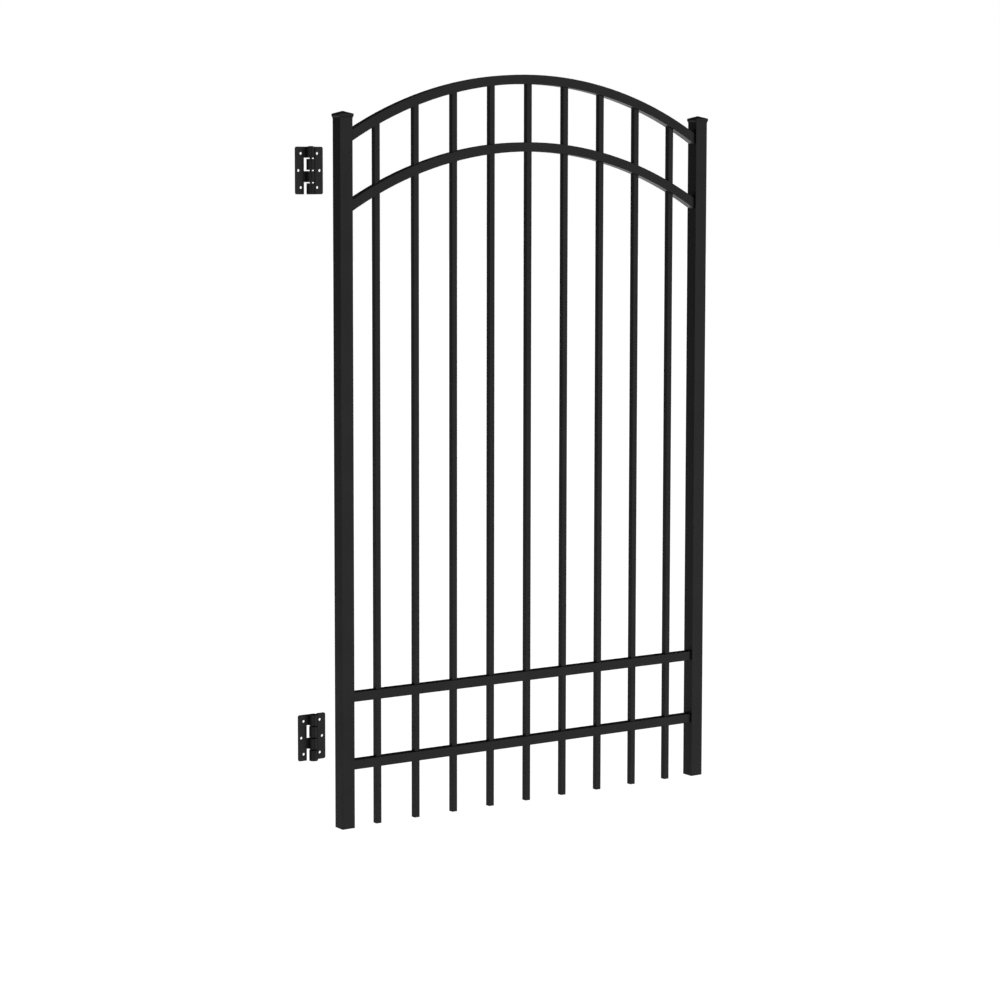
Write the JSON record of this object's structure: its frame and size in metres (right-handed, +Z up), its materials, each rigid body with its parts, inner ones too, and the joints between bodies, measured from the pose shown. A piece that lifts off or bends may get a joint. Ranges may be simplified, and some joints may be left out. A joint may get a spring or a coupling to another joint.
{
  "type": "garden gate",
  "caption": "Arched walk gate in black coated aluminium: square pickets between two capped uprights, curved and straight rails, and butterfly hinges laid out beside it.",
  "frame": {"origin": "centre of the lower post leaf's middle screw hole, on the leaf's back face, where it bears on the post", "axes": "+Z up along the hinge pins, +X from the hinge side towards the latch side along the gate, +Y from the front towards the rear"},
  "size_m": [1.3441, 0.0647, 1.9969],
  "materials": {
    "powder_coat": "satin",
    "cast_cap": "satin",
    "hinge_coat": "satin",
    "coated_screw": "satin",
    "foot_plug": "matte",
    "pin_steel": "satin",
    "nylon": "matte",
    "spacer_nylon": "matte",
    "spring_steel": "satin"
  },
  "bodies": {
    "post_leaves": {"upper_post_leaf": "hinge_coat", "upper_hinge_pin": "pin_steel", "upper_post_bushes": "nylon", "upper_thrust_spacers": "spacer_nylon", "upper_closing_spring": "spring_steel", "lower_post_leaf": "hinge_coat", "lower_hinge_pin": "pin_steel", "lower_post_bushes": "nylon", "lower_thrust_spacers": "spacer_nylon", "lower_closing_spring": "spring_steel"},
    "gate_leaves": {"upper_gate_leaf": "hinge_coat", "upper_gate_bushes": "nylon", "lower_gate_leaf": "hinge_coat", "lower_gate_bushes": "nylon"},
    "gate_panel": {"top_arch": "powder_coat", "top_arch_screws": "coated_screw", "lower_arch": "powder_coat", "lower_arch_screws": "coated_screw", "mid_rail": "powder_coat", "mid_rail_screws": "coated_screw", "bottom_rail": "powder_coat", "bottom_rail_screws": "coated_screw", "hinge_upright": "powder_coat", "hinge_upright_cap": "cast_cap", "hinge_upright_foot_plug": "foot_plug", "hinge_upright_screws": "coated_screw", "latch_upright": "powder_coat", "latch_upright_cap": "cast_cap", "latch_upright_foot_plug": "foot_plug", "latch_upright_screws": "coated_screw", "picket_1": "powder_coat", "picket_2": "powder_coat", "picket_3": "powder_coat", "picket_4": "powder_coat", "picket_5": "powder_coat", "picket_6": "powder_coat", "picket_7": "powder_coat", "picket_8": "powder_coat", "picket_9": "powder_coat"}
  },
  "joints": [
    {"name": "gate_swing", "type": "hinge", "parent": "post_leaves", "child": "gate_leaves", "pos_m": [0.0313, -0.0116, 0], "axis": [0, 0, -1], "range_deg": [0, 180], "deforming": ["upper_closing_spring", "lower_closing_spring"]},
    {"name": "panel_seat", "type": "slide", "parent": "gate_leaves", "child": "gate_panel", "axis": [-1, 0, 0], "range_m": [0, 0.0818]}
  ]
}
